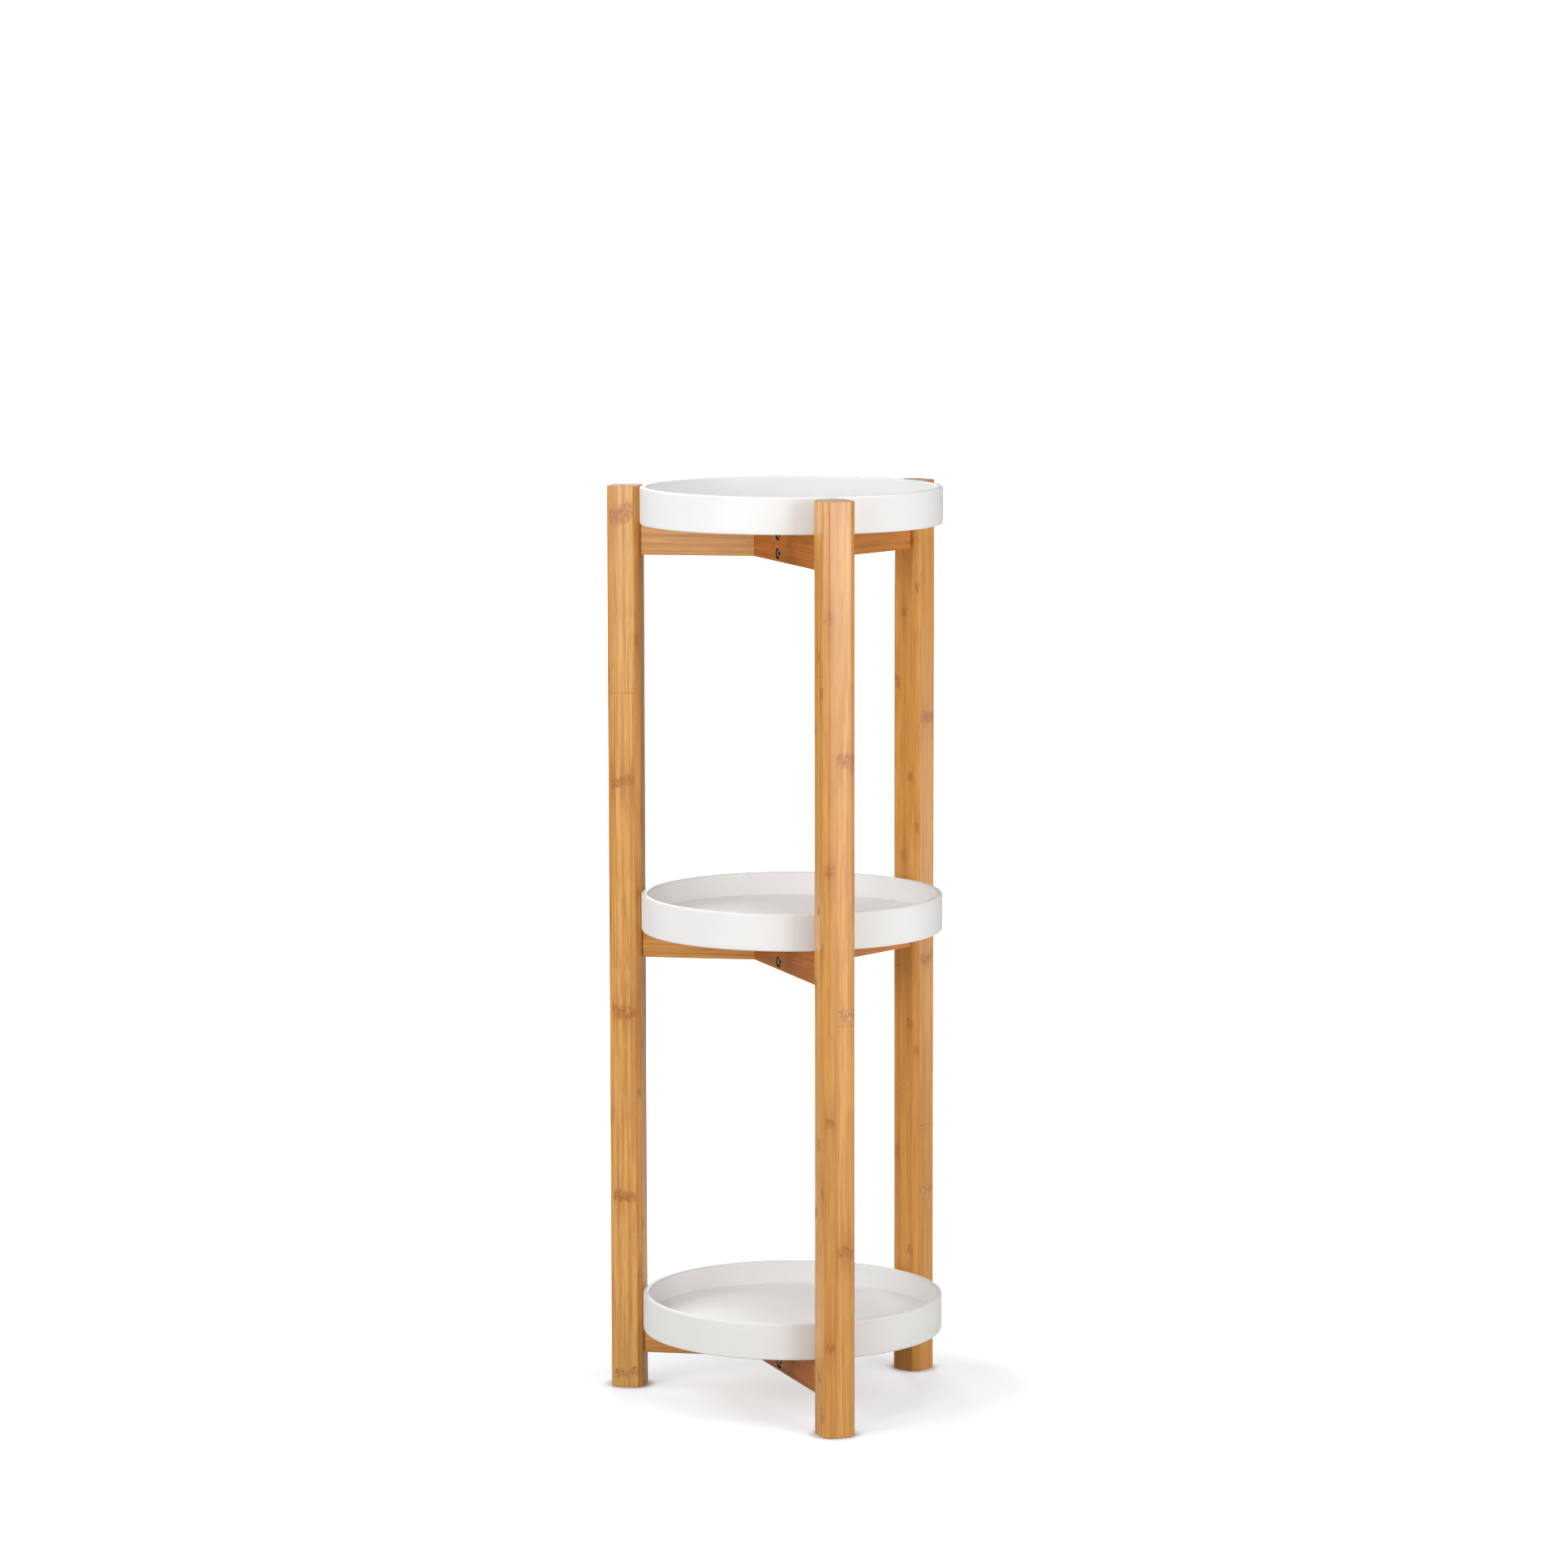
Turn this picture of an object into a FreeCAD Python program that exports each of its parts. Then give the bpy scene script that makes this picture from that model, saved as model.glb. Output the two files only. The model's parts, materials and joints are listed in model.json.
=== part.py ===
import FreeCAD, Part
import os
import Sketcher
from FreeCAD import Placement, Rotation, Vector

# A three-legged plant stand: bamboo legs and crossbars, and a loose round tray on each of three tiers.
# Z runs up from the floor, the front leg stands towards -Y, and all sizes are in millimetres.
sizes = {
    # Legs: square posts with broad chamfers
    "leg_height": 800.0,
    "leg_side": 29.0,
    "leg_chamfer": 4.5,
    "leg_ease": 1.0,
    # Crossbars: the gap runs from the stand's axis to the nearest side of a bar
    "bar_width": 16.0,
    "bar_height": 30.0,
    "bar_ease": 0.8,
    "centre_gap": 9.5,
    "foot_clearance": 31.0,
    # Trays: a base panel set down on the inner lip of a hoop
    "tray_radius": 131.0,
    "tray_gap": 4.0,
    "rim_height": 32.0,
    "rim_proud": 1.5,
    "rim_wall": 6.0,
    "rim_round": 1.5,
    "lip_width": 3.0,
    "lip_height": 3.0,
    "base_thickness": 9.0,
    "base_fit": 0.1,
    # Socket-head bolts that hold the crossbars together
    "bolt_radius": 2.5,
    "bolt_edge": 7.0,
    "bolt_hole_fit": 0.25,
    "head_radius": 4.25,
    "head_height": 5.0,
    "head_fit": 0.65,
    "socket_flats": 4.0,
    "socket_depth": 2.5,
    # Threaded inserts in the mitred ends of the crossbars
    "insert_radius": 4.0,
    "insert_length": 12.0,
    "insert_fit": 0.1,
    "thread_fit": 0.05,
    "tip_room": 1.0,
    # Dowels between a leg and its crossbars
    "dowel_radius": 4.0,
    "dowel_depth": 15.0,
    "dowel_edge": 8.0,
    "dowel_fit": 0.1,
    "dowel_room": 1.0,
    # How far every cut runs past the face it opens
    "overrun": 1.0,
}

# A leg and its crossbars make a flat comb. The combs stand evenly round the stand's axis, each set off
# sideways from it, so that every bar's mitred end butts against the side of the bar before it: a pinwheel.
combs = ("front", "right", "left")
comb_turn = 360 / len(combs)
comb_angles = {side: number * comb_turn - 90 for number, side in enumerate(combs)}
mitre = "tan(30 deg)"
up = Vector(0, 0, 1)

doc = FreeCAD.newDocument("plant_stand")
sheet = doc.addObject("Spreadsheet::Sheet", "sheet")
for row, (name, value) in enumerate(sizes.items(), start=1):
    sheet.set(f"A{row}", name)
    sheet.set(f"B{row}", str(value))
    sheet.setAlias(f"B{row}", name)
doc.recompute()


def sized(text):
    """Turns a sum written in the names of the sizes into an expression on the sheet's cells."""
    words = text.replace("(", "( ").replace(")", " )").split()
    return " ".join(f"sheet.{word}" if word in sizes else word for word in words)


def measure(text):
    """The present value of a sum written in the names of the sizes."""
    return float(sheet.evalExpression(sized(text)))


# Places in a comb: x runs outwards from the stand's axis, y across the comb, z up from the bar's underside
comb_side = "( bar_width / 2 + centre_gap )"
leg_face = "( tray_radius + tray_gap )"
near_end = "( centre_gap * tan(60 deg) )"
axis_end = f"( {near_end} + bar_width / 2 * {mitre} )"
far_end = f"( {near_end} + bar_width * {mitre} )"
head_face = f"( {axis_end} + bar_width / cos(30 deg) )"
head_bore = "( head_radius + head_fit )"
head_seat = f"( {head_face} - head_height - {head_bore} * {mitre} )"
insert_bore = "( insert_radius + insert_fit )"
insert_mouth = f"( {axis_end} - {insert_bore} * {mitre} )"
insert_end = f"( {insert_mouth} - insert_length )"
bolt_rise = "( bar_height - 2 * bolt_edge )"
dowel_rise = "( bar_height - 2 * dowel_edge )"

# The origin is in the middle of the footprint, which ends at the legs but, at the back, at the trays
axis_x = f"- {comb_side} / 2"
axis_y = "( tray_gap + leg_side ) / 2"

# Undersides of the crossbars: the top tray stands just proud of the legs and the middle tier is halfway
top_tier = "( leg_height + rim_proud - rim_height - bar_height )"
tiers = {
    "top": top_tier,
    "middle": f"( {top_tier} + foot_clearance ) / 2",
    "bottom": "foot_clearance",
}
sub_parts = []


def new_body(label, angle=0, height="0"):
    """A body in the frame of one comb, turned to that comb's angle and lifted to its height."""
    body = doc.addObject("PartDesign::Body", label)
    body.Label = label
    body.Placement = Placement(Vector(), Rotation(up, angle))
    for axis, place in (("x", axis_x), ("y", axis_y), ("z", height)):
        body.setExpression(f"Placement.Base.{axis}", sized(place))
    sub_parts.append(body)
    return body


def origin_feature(body, role):
    return next(feature for feature in body.Origin.OriginFeatures if feature.Role == role)


def new_sketch(body, name, plane, offset=("0", "0", "0"), angle=0):
    """A sketch on one of the body's origin planes, moved by an offset in that plane's own axes and turned."""
    sketch = body.newObject("Sketcher::SketchObject", f"{body.Name}_{name}")
    sketch.AttachmentSupport = [(origin_feature(body, plane), "")]
    sketch.MapMode = "FlatFace"
    sketch.AttachmentOffset = Placement(Vector(), Rotation(up, angle))
    for axis, text in zip("xyz", offset):
        sketch.setExpression(f"AttachmentOffset.Base.{axis}", sized(text))
    return sketch


def pin_point(sketch, geometry, point, x, y):
    """Holds a point of the sketch at a place given in sizes."""
    for kind, text in (("DistanceX", x), ("DistanceY", y)):
        number = sketch.addConstraint(Sketcher.Constraint(kind, -1, 1, geometry, point, measure(text)))
        sketch.setExpression(f"Constraints[{number}]", sized(text))


def draw_outline(sketch, corners):
    """A closed outline of straight lines through corners given in sizes."""
    points = [Vector(measure(x), measure(y)) for x, y in corners]
    lines = [
        sketch.addGeometry(Part.LineSegment(point, points[(index + 1) % len(points)]), False)
        for index, point in enumerate(points)
    ]
    for index, line in enumerate(lines):
        sketch.addConstraint(Sketcher.Constraint("Coincident", line, 2, lines[(index + 1) % len(lines)], 1))
    for line, corner in zip(lines, corners):
        pin_point(sketch, line, 1, *corner)
    return sketch


def draw_circles(sketch, centres, radius):
    """Circles of one radius round centres given in sizes."""
    for centre in centres:
        circle = sketch.addGeometry(Part.Circle(Vector(), up, measure(radius)), False)
        number = sketch.addConstraint(Sketcher.Constraint("Radius", circle, measure(radius)))
        sketch.setExpression(f"Constraints[{number}]", sized(radius))
        pin_point(sketch, circle, 3, *centre)
    return sketch


def pad(body, sketch, length):
    feature = body.newObject("PartDesign::Pad", f"{sketch.Name}_pad")
    feature.Profile = sketch
    feature.setExpression("Length", sized(length))
    return feature


def pocket(body, sketch, depth, reverse=False):
    feature = body.newObject("PartDesign::Pocket", f"{sketch.Name}_pocket")
    feature.Profile = sketch
    feature.Reversed = reverse
    feature.setExpression("Length", sized(depth))
    return feature


def turned(body, sketch, axis, kind="Revolution"):
    """A full turn of a half profile, added to the body or, as a Groove, taken out of it."""
    feature = body.newObject(f"PartDesign::{kind}", f"{sketch.Name}_{kind.lower()}")
    feature.Profile = sketch
    feature.ReferenceAxis = axis
    feature.Angle = 360
    return feature


def dress_edges(body, kind, size, chosen):
    """Chamfers or fillets those edges of the body so far that the given test picks."""
    doc.recompute()
    base = body.Tip
    names = [f"Edge{number}" for number, edge in enumerate(base.Shape.Edges, start=1) if chosen(edge)]
    feature = body.newObject(f"PartDesign::{kind}", f"{body.Name}_{kind.lower()}")
    feature.Base = (base, names)
    feature.setExpression("Radius" if kind == "Fillet" else "Size", sized(size))
    return feature


def new_stack(body, rise):
    """A pattern that repeats what it is given once, straight above itself."""
    stack = body.newObject("PartDesign::LinearPattern", f"{body.Name}_stack")
    stack.Direction = (origin_feature(body, "Z_Axis"), [""])
    stack.Occurrences = 2
    stack.setExpression("Length", sized(rise))
    return stack


def stack_pair(body, originals, rise):
    stack = new_stack(body, rise)
    stack.Originals = originals
    body.Tip = stack


def stack_and_turn(body, originals, rise):
    """Repeats features once above themselves and then round the stand's axis, once for each comb."""
    pattern = body.newObject("PartDesign::MultiTransform", f"{body.Name}_set")
    pattern.Originals = originals
    ring = body.newObject("PartDesign::PolarPattern", f"{body.Name}_ring")
    ring.Axis = (origin_feature(body, "Z_Axis"), [""])
    ring.Angle = 360
    ring.Occurrences = len(combs)
    pattern.Transformations = [new_stack(body, rise), ring]
    body.Tip = pattern


def is_upright(edge):
    return edge.BoundBox.ZLength > edge.BoundBox.DiagonalLength / 2


def is_level(edge):
    return not is_upright(edge)


def make_leg(side, angle):
    body = new_body(f"leg_{side}", angle)
    inner, outer = leg_face, f"{leg_face} + leg_side"
    left, right = f"leg_side / 2 - {comb_side}", f"- leg_side / 2 - {comb_side}"
    square = draw_outline(
        new_sketch(body, "section", "XY_Plane"),
        [(inner, right), (outer, right), (outer, left), (inner, left)],
    )
    pad(body, square, "leg_height")
    dress_edges(body, "Chamfer", "leg_chamfer", is_upright)
    dress_edges(body, "Chamfer", "leg_ease", is_level)
    centres = []
    for height in tiers.values():
        centres.append((f"- {comb_side}", f"{height} + dowel_edge"))
        centres.append((f"- {comb_side}", f"{height} + dowel_edge + {dowel_rise}"))
    holes = new_sketch(body, "dowel_holes", "YZ_Plane", ("0", "0", leg_face))
    draw_circles(holes, centres, "dowel_radius + dowel_fit")
    pocket(body, holes, "dowel_depth + dowel_room", reverse=True)


def make_bar(tier, side, angle, height):
    body = new_body(f"bar_{tier}_{side}", angle, height)
    outline = draw_outline(
        new_sketch(body, "plan", "XY_Plane"),
        [
            (f"- {far_end}", "- centre_gap - bar_width"),
            (leg_face, "- centre_gap - bar_width"),
            (leg_face, "- centre_gap"),
            (f"- {near_end}", "- centre_gap"),
        ],
    )
    pad(body, outline, "bar_height")
    dress_edges(body, "Chamfer", "bar_ease", lambda edge: True)

    # Counterbored holes along the axis of the next bar, which slants across this one
    across = f"{comb_side} * sin({comb_turn} deg)"
    along = f"- {comb_side} * cos({comb_turn} deg)"
    bolt_hole = "( bolt_radius + bolt_hole_fit )"
    start = f"- {head_face} - {head_bore} * {mitre} - overrun"
    stop = f"{bolt_hole} * {mitre} + overrun - {axis_end}"
    counterbore = draw_outline(
        new_sketch(body, "bolt_hole", "XY_Plane", (across, along, "bolt_edge"), comb_turn),
        [
            (start, "0"),
            (start, head_bore),
            (f"- {head_seat}", head_bore),
            (f"- {head_seat}", bolt_hole),
            (stop, bolt_hole),
            (stop, "0"),
        ],
    )
    bolt_cut = turned(body, counterbore, (counterbore, ["H_Axis"]), "Groove")

    # Blind holes along this bar's own axis for the inserts and the tips of their bolts
    mouth = f"- {axis_end} - {insert_bore} * {mitre} - overrun"
    bottom = f"tip_room - {insert_end}"
    insert_hole = draw_outline(
        new_sketch(body, "insert_hole", "XY_Plane", ("0", f"- {comb_side}", "bolt_edge")),
        [(mouth, "0"), (mouth, insert_bore), (bottom, insert_bore), (bottom, "0")],
    )
    insert_cut = turned(body, insert_hole, (insert_hole, ["H_Axis"]), "Groove")
    stack_pair(body, [bolt_cut, insert_cut], bolt_rise)

    # Dowel holes in the end that meets the leg
    holes = new_sketch(body, "dowel_holes", "YZ_Plane", ("0", "0", leg_face))
    centres = [(f"- {comb_side}", "dowel_edge"), (f"- {comb_side}", f"dowel_edge + {dowel_rise}")]
    draw_circles(holes, centres, "dowel_radius + dowel_fit")
    pocket(body, holes, "dowel_depth + dowel_room")


def make_hoop(tier, height):
    body = new_body(f"tray_{tier}_hoop", 0, f"{height} + bar_height")
    inside = "tray_radius - rim_wall"
    lip = "tray_radius - rim_wall - lip_width"
    section = draw_outline(
        new_sketch(body, "section", "XZ_Plane"),
        [
            (lip, "0"),
            ("tray_radius", "0"),
            ("tray_radius", "rim_height"),
            (inside, "rim_height"),
            (inside, "lip_height"),
            (lip, "lip_height"),
        ],
    )
    turned(body, section, (origin_feature(body, "Z_Axis"), [""]))
    half_up = sizes["rim_height"] / 2
    half_out = sizes["tray_radius"] - sizes["rim_wall"] / 2

    def is_rounded(edge):
        is_circle = edge.Curve.TypeId == "Part::GeomCircle"
        return is_circle and (edge.BoundBox.ZMin > half_up or edge.Curve.Radius > half_out)

    dress_edges(body, "Fillet", "rim_round", is_rounded)


def make_base(tier, height):
    body = new_body(f"tray_{tier}_base", 0, f"{height} + bar_height + lip_height")
    disc = new_sketch(body, "disc", "XY_Plane")
    draw_circles(disc, [("0", "0")], "tray_radius - rim_wall - base_fit")
    pad(body, disc, "base_thickness")


def make_bolts(tier, height):
    body = new_body(f"bolts_{tier}", comb_angles["front"], height)
    seat = f"- {head_seat}"
    top = f"- {head_seat} - head_height"
    tip = f"- {insert_end}"
    profile = draw_outline(
        new_sketch(body, "profile", "XY_Plane", ("0", f"- {comb_side}", "bolt_edge")),
        [
            (top, "0"),
            (top, "head_radius"),
            (seat, "head_radius"),
            (seat, "bolt_radius"),
            (tip, "bolt_radius"),
            (tip, "0"),
        ],
    )
    shank = turned(body, profile, (profile, ["H_Axis"]))
    corner = "socket_flats / sqrt(3)"
    hexagon = draw_outline(
        new_sketch(body, "socket", "YZ_Plane", (f"- {comb_side}", "bolt_edge", top)),
        [(f"{corner} * cos({60 * step} deg)", f"{corner} * sin({60 * step} deg)") for step in range(6)],
    )
    socket = pocket(body, hexagon, "socket_depth", reverse=True)
    stack_and_turn(body, [shank, socket], bolt_rise)


def make_inserts(tier, height):
    body = new_body(f"inserts_{tier}", comb_angles["front"], height)
    mouth = f"- {insert_mouth}"
    inner = f"- {insert_end}"
    thread = "bolt_radius + thread_fit"
    profile = draw_outline(
        new_sketch(body, "profile", "XY_Plane", ("0", f"- {comb_side}", "bolt_edge")),
        [(mouth, thread), (mouth, "insert_radius"), (inner, "insert_radius"), (inner, thread)],
    )
    sleeve = turned(body, profile, (profile, ["H_Axis"]))
    stack_and_turn(body, [sleeve], bolt_rise)


def make_dowels(tier, height):
    body = new_body(f"dowels_{tier}", comb_angles["front"], height)
    start = f"{leg_face} - dowel_depth"
    stop = f"{leg_face} + dowel_depth"
    profile = draw_outline(
        new_sketch(body, "profile", "XY_Plane", ("0", f"- {comb_side}", "dowel_edge")),
        [(start, "0"), (start, "dowel_radius"), (stop, "dowel_radius"), (stop, "0")],
    )
    peg = turned(body, profile, (profile, ["H_Axis"]))
    stack_and_turn(body, [peg], dowel_rise)


def check(body):
    """Stops the build if a feature failed, a cut took nothing away or the finished shape isn't sound."""
    for feature in body.Group:
        if "Invalid" in feature.State or "Error" in feature.State:
            raise RuntimeError(f"{feature.Name} failed: {feature.State}")
        if feature.TypeId in ("PartDesign::Pocket", "PartDesign::Groove"):
            if feature.Shape.Volume >= feature.BaseFeature.Shape.Volume:
                raise RuntimeError(f"{feature.Name} cuts nothing")
    if body.Shape.isNull() or not body.Shape.isValid():
        raise RuntimeError(f"{body.Label} has no sound shape")


for side, angle in comb_angles.items():
    make_leg(side, angle)
for tier, height in tiers.items():
    for side, angle in comb_angles.items():
        make_bar(tier, side, angle, height)
    make_hoop(tier, height)
    make_base(tier, height)
    make_bolts(tier, height)
    make_inserts(tier, height)
    make_dowels(tier, height)
doc.recompute()

for body in sub_parts:
    check(body)
os.makedirs("parts", exist_ok=True)
for body in sub_parts:
    body.Shape.exportStep(f"parts/{body.Label}.step")
    print(body.Label, len(body.Shape.Solids), round(body.Shape.Volume))
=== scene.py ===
import json
from math import cos, pi, radians, sqrt, tan

import bmesh
import bpy
from mathutils import Matrix, Vector


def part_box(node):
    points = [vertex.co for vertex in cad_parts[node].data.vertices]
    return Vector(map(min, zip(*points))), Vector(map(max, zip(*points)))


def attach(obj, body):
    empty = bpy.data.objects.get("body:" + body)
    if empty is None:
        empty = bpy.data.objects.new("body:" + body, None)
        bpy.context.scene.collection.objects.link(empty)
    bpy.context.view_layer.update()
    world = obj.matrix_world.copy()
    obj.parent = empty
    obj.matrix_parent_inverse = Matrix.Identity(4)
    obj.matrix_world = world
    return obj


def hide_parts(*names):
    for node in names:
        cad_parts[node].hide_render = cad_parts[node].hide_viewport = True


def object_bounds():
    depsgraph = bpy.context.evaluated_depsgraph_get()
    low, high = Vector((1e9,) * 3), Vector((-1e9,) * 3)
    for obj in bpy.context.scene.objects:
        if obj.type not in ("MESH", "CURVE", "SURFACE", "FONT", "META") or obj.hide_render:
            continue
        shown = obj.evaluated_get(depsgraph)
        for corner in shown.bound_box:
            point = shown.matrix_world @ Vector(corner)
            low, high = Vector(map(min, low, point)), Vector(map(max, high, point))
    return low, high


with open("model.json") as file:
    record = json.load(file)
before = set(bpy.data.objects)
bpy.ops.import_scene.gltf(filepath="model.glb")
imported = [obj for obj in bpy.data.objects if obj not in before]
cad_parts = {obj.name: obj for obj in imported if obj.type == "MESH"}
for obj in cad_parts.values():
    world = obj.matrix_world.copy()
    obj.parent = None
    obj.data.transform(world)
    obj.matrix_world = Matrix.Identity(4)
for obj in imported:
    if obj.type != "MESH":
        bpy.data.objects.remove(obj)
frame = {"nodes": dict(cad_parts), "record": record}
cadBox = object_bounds()

# everything in a comb is modelled at the front, square to the axes, then turned round the stand's axis
tiers = ("top", "middle", "bottom")
combTurns = {"front": 0.0, "right": 2 * pi / 3, "left": 4 * pi / 3}
mountPoints = {mount["name"]: Vector(mount["pos_m"]) for mount in frame["record"]["mounts"]}
standAxis = Vector((*mountPoints["tray_top_floor"].xy, 0))


def turnedToComb(comb):
    toAxis = Matrix.Translation(standAxis)
    return toAxis @ Matrix.Rotation(combTurns[comb], 4, "Z") @ toAxis.inverted()


def liftToTier(tier):
    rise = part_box(f"bar_{tier}_front")[0].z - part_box("bar_bottom_front")[0].z
    return Matrix.Translation((0, 0, rise))


# mesh helpers
sharpAngle = radians(35)
weldGap = 1e-6  # vertices closer than this are the same, in metres
drillSides = 40


def softenEdges(bm, edges, width, rounds):
    bmesh.ops.bevel(
        bm, geom=edges, offset=width, offset_type="OFFSET", affect="EDGES",
        segments=rounds, profile=0.5, material=-1,
    )


def newVerts(made):
    return [part for part in made["geom"] if isinstance(part, bmesh.types.BMVert)]


def newEdges(made):
    return [part for part in made["geom"] if isinstance(part, bmesh.types.BMEdge)]


def newFaces(made):
    return [part for part in made["geom"] if isinstance(part, bmesh.types.BMFace)]


def meshFrom(bm, name):
    bmesh.ops.recalc_face_normals(bm, faces=bm.faces[:])
    mesh = bpy.data.meshes.new(name)
    bm.to_mesh(mesh)
    bm.free()
    return mesh


def rodAlongY(bm, radius, x, z, startY, endY):
    middle = Vector((x, (startY + endY) / 2, z))
    place = Matrix.Translation(middle) @ Matrix.Rotation(pi / 2, 4, "X")
    bmesh.ops.create_cone(
        bm, cap_ends=True, segments=drillSides, radius1=radius, radius2=radius,
        depth=abs(endY - startY), matrix=place,
    )


def drilled(mesh, cutter):
    # takes the cutter's rods out of the mesh; the bores get the second of its two material places
    blank = bpy.data.objects.new("blank", mesh)
    drill = bpy.data.objects.new("drill", cutter)
    for thing in (blank, drill):
        thing.data.materials.append(None)
        thing.data.materials.append(None)
        bpy.context.scene.collection.objects.link(thing)
    cutter.polygons.foreach_set("material_index", [1] * len(cutter.polygons))
    cut = blank.modifiers.new("holes", "BOOLEAN")
    cut.operation = "DIFFERENCE"
    cut.solver = "EXACT"
    cut.object = drill
    bpy.context.view_layer.update()
    seen = blank.evaluated_get(bpy.context.evaluated_depsgraph_get())
    result = bpy.data.meshes.new_from_object(seen)
    for thing in (blank, drill):
        bpy.data.objects.remove(thing)
    return result


def addPiece(name, mesh, body, slot, node, *materials):
    piece = bpy.data.objects.new(name, mesh)
    bpy.context.scene.collection.objects.link(piece)
    for place, material in enumerate(materials):
        if place < len(mesh.materials):
            mesh.materials[place] = material
        else:
            mesh.materials.append(material)
    mesh.shade_smooth()
    mesh.set_sharp_from_angle(angle=sharpAngle)
    even = piece.modifiers.new("evenNormals", "WEIGHTED_NORMAL")
    even.keep_sharp = True
    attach(piece, body)
    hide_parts(node)


# node helpers
def addNode(tree, kind, inputs=None, **settings):
    node = tree.nodes.new("ShaderNode" + kind)
    for name, value in settings.items():
        setattr(node, name, value)
    for name, value in (inputs or {}).items():
        if isinstance(value, bpy.types.NodeSocket):
            tree.links.new(value, node.inputs[name])
        else:
            node.inputs[name].default_value = value
    return node


def calc(tree, operation, first, second=0.0, third=0.0):
    sockets = {0: first, 1: second, 2: third}
    return addNode(tree, "Math", sockets, operation=operation).outputs[0]


def fade(tree, value, start, end, low=0.0, high=1.0):
    sockets = {0: value, 1: start, 2: end, 3: low, 4: high}
    return addNode(tree, "MapRange", sockets, interpolation_type="SMOOTHSTEP").outputs[0]


def blend(tree, share, under, over):
    sockets = {0: share, 6: under, 7: over}
    return addNode(tree, "Mix", sockets, data_type="RGBA").outputs[2]


def stretched(tree, vector, scale):
    return addNode(tree, "VectorMath", {0: vector, 1: scale}, operation="MULTIPLY").outputs[0]


def noise(tree, vector, scale=1.0, detail=2.0, rough=0.5, swirl=0.0):
    sockets = {"Vector": vector, "Scale": scale, "Detail": detail, "Roughness": rough, "Distortion": swirl}
    return addNode(tree, "TexNoise", sockets).outputs[0]


def randomOf(tree, *seeds):
    place = addNode(tree, "CombineXYZ", dict(enumerate(seeds))).outputs[0]
    colour = addNode(tree, "TexWhiteNoise", {"Vector": place}, noise_dimensions="3D").outputs["Color"]
    return addNode(tree, "SeparateColor", {0: colour}).outputs


def newGroup(name, inputs, outputs):
    group = bpy.data.node_groups.new(name, "ShaderNodeTree")
    for label, kind in inputs.items():
        group.interface.new_socket(name=label, in_out="INPUT", socket_type="NodeSocket" + kind)
    for label, kind in outputs.items():
        group.interface.new_socket(name=label, in_out="OUTPUT", socket_type="NodeSocket" + kind)
    entry = group.nodes.new("NodeGroupInput")
    leave = group.nodes.new("NodeGroupOutput")
    return group, entry.outputs, leave.inputs


def useGroup(tree, group, inputs):
    node = tree.nodes.new("ShaderNodeGroup")
    node.node_tree = group
    for name, value in inputs.items():
        if isinstance(value, bpy.types.NodeSocket):
            tree.links.new(value, node.inputs[name])
        else:
            node.inputs[name].default_value = value
    return node.outputs


def newMaterial(name, **constants):
    material = bpy.data.materials.new(name)
    material.use_nodes = True
    tree = material.node_tree
    shader = tree.nodes["Principled BSDF"]
    for label, value in constants.items():
        shader.inputs[label.replace("_", " ")].default_value = value
    return material, tree, shader


def bumpInto(tree, shader, height, strength, distance):
    bump = addNode(tree, "Bump", {"Strength": strength, "Distance": distance, "Height": height})
    tree.links.new(bump.outputs[0], shader.inputs["Normal"])


# shared effect: how glued bamboo strips lie in a board, and where their culm joints and butted ends fall
stripLay = {
    "layerSlide": 0.37, "stripPhase": 0.56, "layerPhase": 0.29, "buttLength": 1.1, "stray": 0.05,
    "stripTone": 0.65, "lengthTone": 0.35, "toneSeed": 2.5, "paleChance": (0.86, 0.90),
}


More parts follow.
